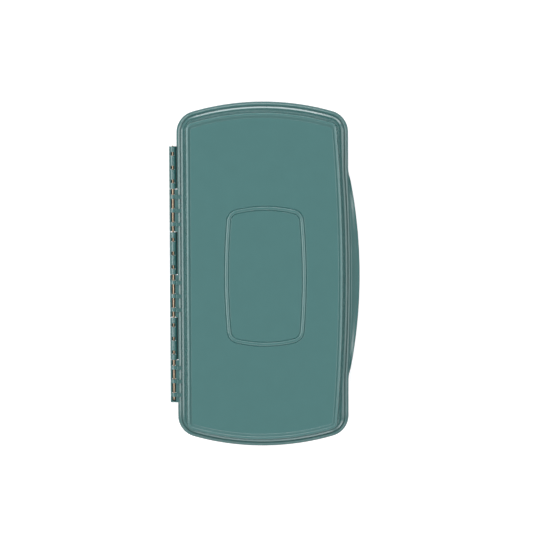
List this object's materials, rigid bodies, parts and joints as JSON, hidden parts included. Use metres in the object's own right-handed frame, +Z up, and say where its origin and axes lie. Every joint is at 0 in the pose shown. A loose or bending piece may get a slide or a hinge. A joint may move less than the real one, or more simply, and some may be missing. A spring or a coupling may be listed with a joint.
{
  "type": "fly box",
  "caption": "Flat hinged fly box: moulded half shells with bowed ends, a long wire pin hinge, crescent thumb grips with magnets, and slit silicone mats inside.",
  "frame": {"origin": "middle of the closed box's footprint, on the surface it lies on", "axes": "+Z up through the lid, Y along the hinge, -X at the hinge and +X at the thumb grips"},
  "size_m": [0.1012, 0.184, 0.032],
  "materials": {
    "shell_plastic": "satin moulded",
    "pin_brass": "drawn wire",
    "mat_silicone": "matte",
    "mat_adhesive": "film",
    "magnet_nickel": "nickel plated"
  },
  "bodies": {
    "base": {"base_shell": "shell_plastic", "hinge_pin": "pin_brass", "base_mat": "mat_silicone", "base_mat_adhesive": "mat_adhesive", "base_magnet_left": "magnet_nickel", "base_magnet_centre": "magnet_nickel", "base_magnet_right": "magnet_nickel"},
    "lid": {"lid_shell": "shell_plastic", "lid_mat": "mat_silicone", "lid_mat_adhesive": "mat_adhesive", "lid_magnet_left": "magnet_nickel", "lid_magnet_centre": "magnet_nickel", "lid_magnet_right": "magnet_nickel"}
  },
  "joints": [
    {"name": "lid_hinge", "type": "hinge", "parent": "base", "child": "lid", "pos_m": [-0.04865, 0, 0.016], "axis": [0, -1, 0], "range_deg": [0, 180]}
  ]
}
